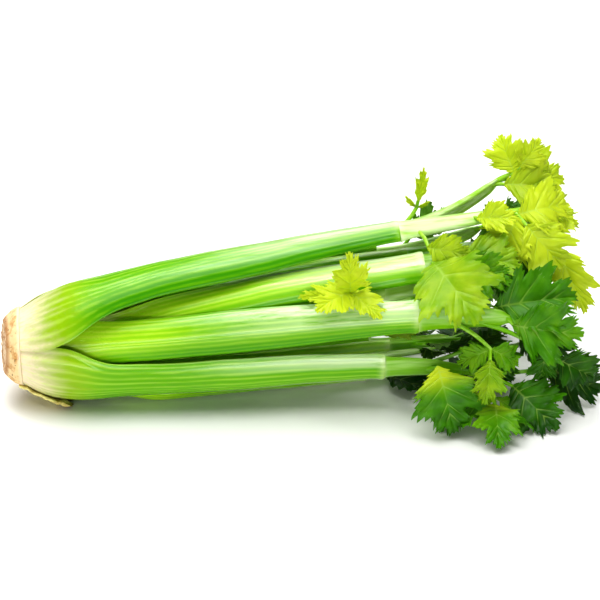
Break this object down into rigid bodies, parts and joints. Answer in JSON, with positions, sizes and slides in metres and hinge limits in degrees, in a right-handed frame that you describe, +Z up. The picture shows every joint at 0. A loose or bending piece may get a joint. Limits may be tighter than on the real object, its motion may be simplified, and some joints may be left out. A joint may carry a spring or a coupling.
{
  "type": "celery",
  "caption": "Head of celery lying on its side: ribbed green stalks wrapped round a heart on a pale root plate, spreading to branched leaf stems with toothed leaves.",
  "frame": {"origin": "on the ground plane, under the middle of the bounding box", "axes": "+X along the head from the root plate to the leaves, +Z up, -Y towards the side that the picture shows"},
  "size_m": [0.4046, 0.186, 0.1588],
  "materials": {
    "root_plate": "matt cream plant flesh, browned where it was cut",
    "dried_stub": "dry yellow-brown plant skin",
    "outer_stalk": "moist, waxy green skin with lengthwise ribs, ivory at the foot",
    "inner_stalk": "moist, waxy lime skin with lengthwise ribs",
    "leaf": "satin green leaf with pale veins",
    "heart_leaf": "satin yellow-green young leaf"
  },
  "bodies": {
    "root": {"butt": "root_plate", "stub": "dried_stub", "stalk_front_low": "outer_stalk", "stalk_top": "outer_stalk", "stalk_back": "outer_stalk", "stalk_under_back": "outer_stalk", "stalk_front_middle": "outer_stalk", "stalk_top_back": "outer_stalk", "stalk_back_low": "outer_stalk", "stalk_under_front": "outer_stalk", "stalk_inner_front": "inner_stalk", "stalk_inner_top": "inner_stalk", "stalk_inner_back": "inner_stalk", "stalk_inner_low": "inner_stalk", "heart_front": "inner_stalk", "heart_back": "inner_stalk", "heart_low": "inner_stalk", "leaf_top": "leaf", "leaf_front_middle": "leaf", "leaf_front_low": "leaf", "leaf_inner_front": "leaf", "leaf_inner_top": "leaf", "leaf_top_back": "leaf", "leaf_under_front": "leaf", "leaf_under_back": "leaf", "leaf_back": "leaf", "leaf_back_low": "leaf", "leaf_inner_back": "leaf", "leaf_inner_low": "leaf", "leaf_heart_front": "heart_leaf", "leaf_heart_back": "heart_leaf", "leaf_heart_low": "heart_leaf"}
  },
  "joints": []
}
